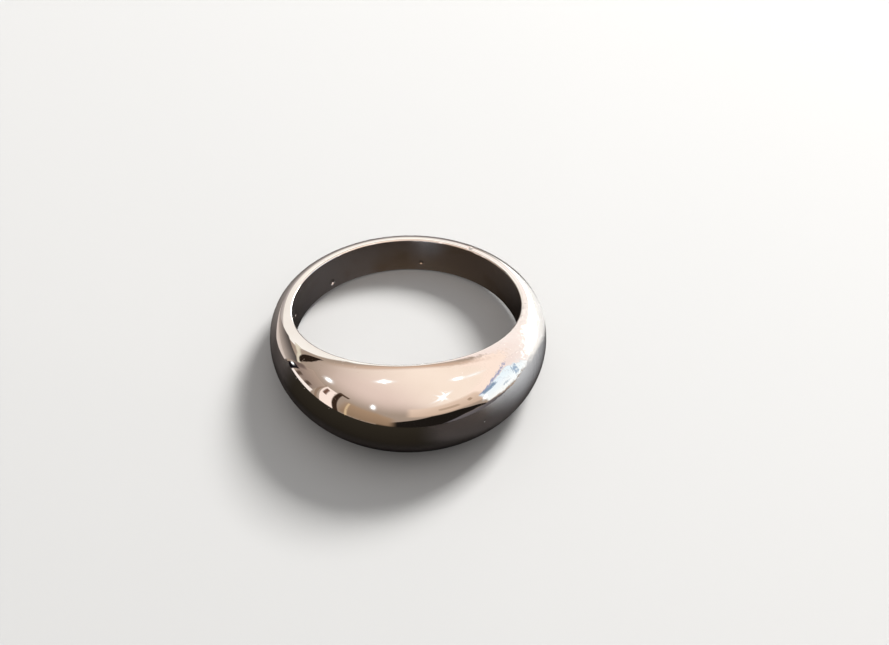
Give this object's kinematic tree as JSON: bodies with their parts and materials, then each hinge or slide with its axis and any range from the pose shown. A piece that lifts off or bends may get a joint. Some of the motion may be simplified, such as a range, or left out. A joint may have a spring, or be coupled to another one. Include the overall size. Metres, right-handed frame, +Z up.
{
  "type": "silver ring",
  "caption": "Plain polished finger ring with a wide rounded dome that tapers to a narrow band at the back; the finger hole is open right through, and the ring lies on its side.",
  "frame": {"origin": "on the surface that the ring rests on, under the middle of its length and width", "axes": "+Z up from the resting surface, -Y towards the dome, +X to the right as seen from the dome; the finger hole's axis leans back from +Z towards +Y by 6.35 degrees, as the tapered ring lies"},
  "size_m": [0.021, 0.023, 0.0069],
  "materials": {
    "polished_silver": "mirror-polished sterling silver with fine wear marks, softer round the inside of the finger hole"
  },
  "bodies": {
    "root": {"dome_band": "polished_silver"}
  },
  "joints": []
}
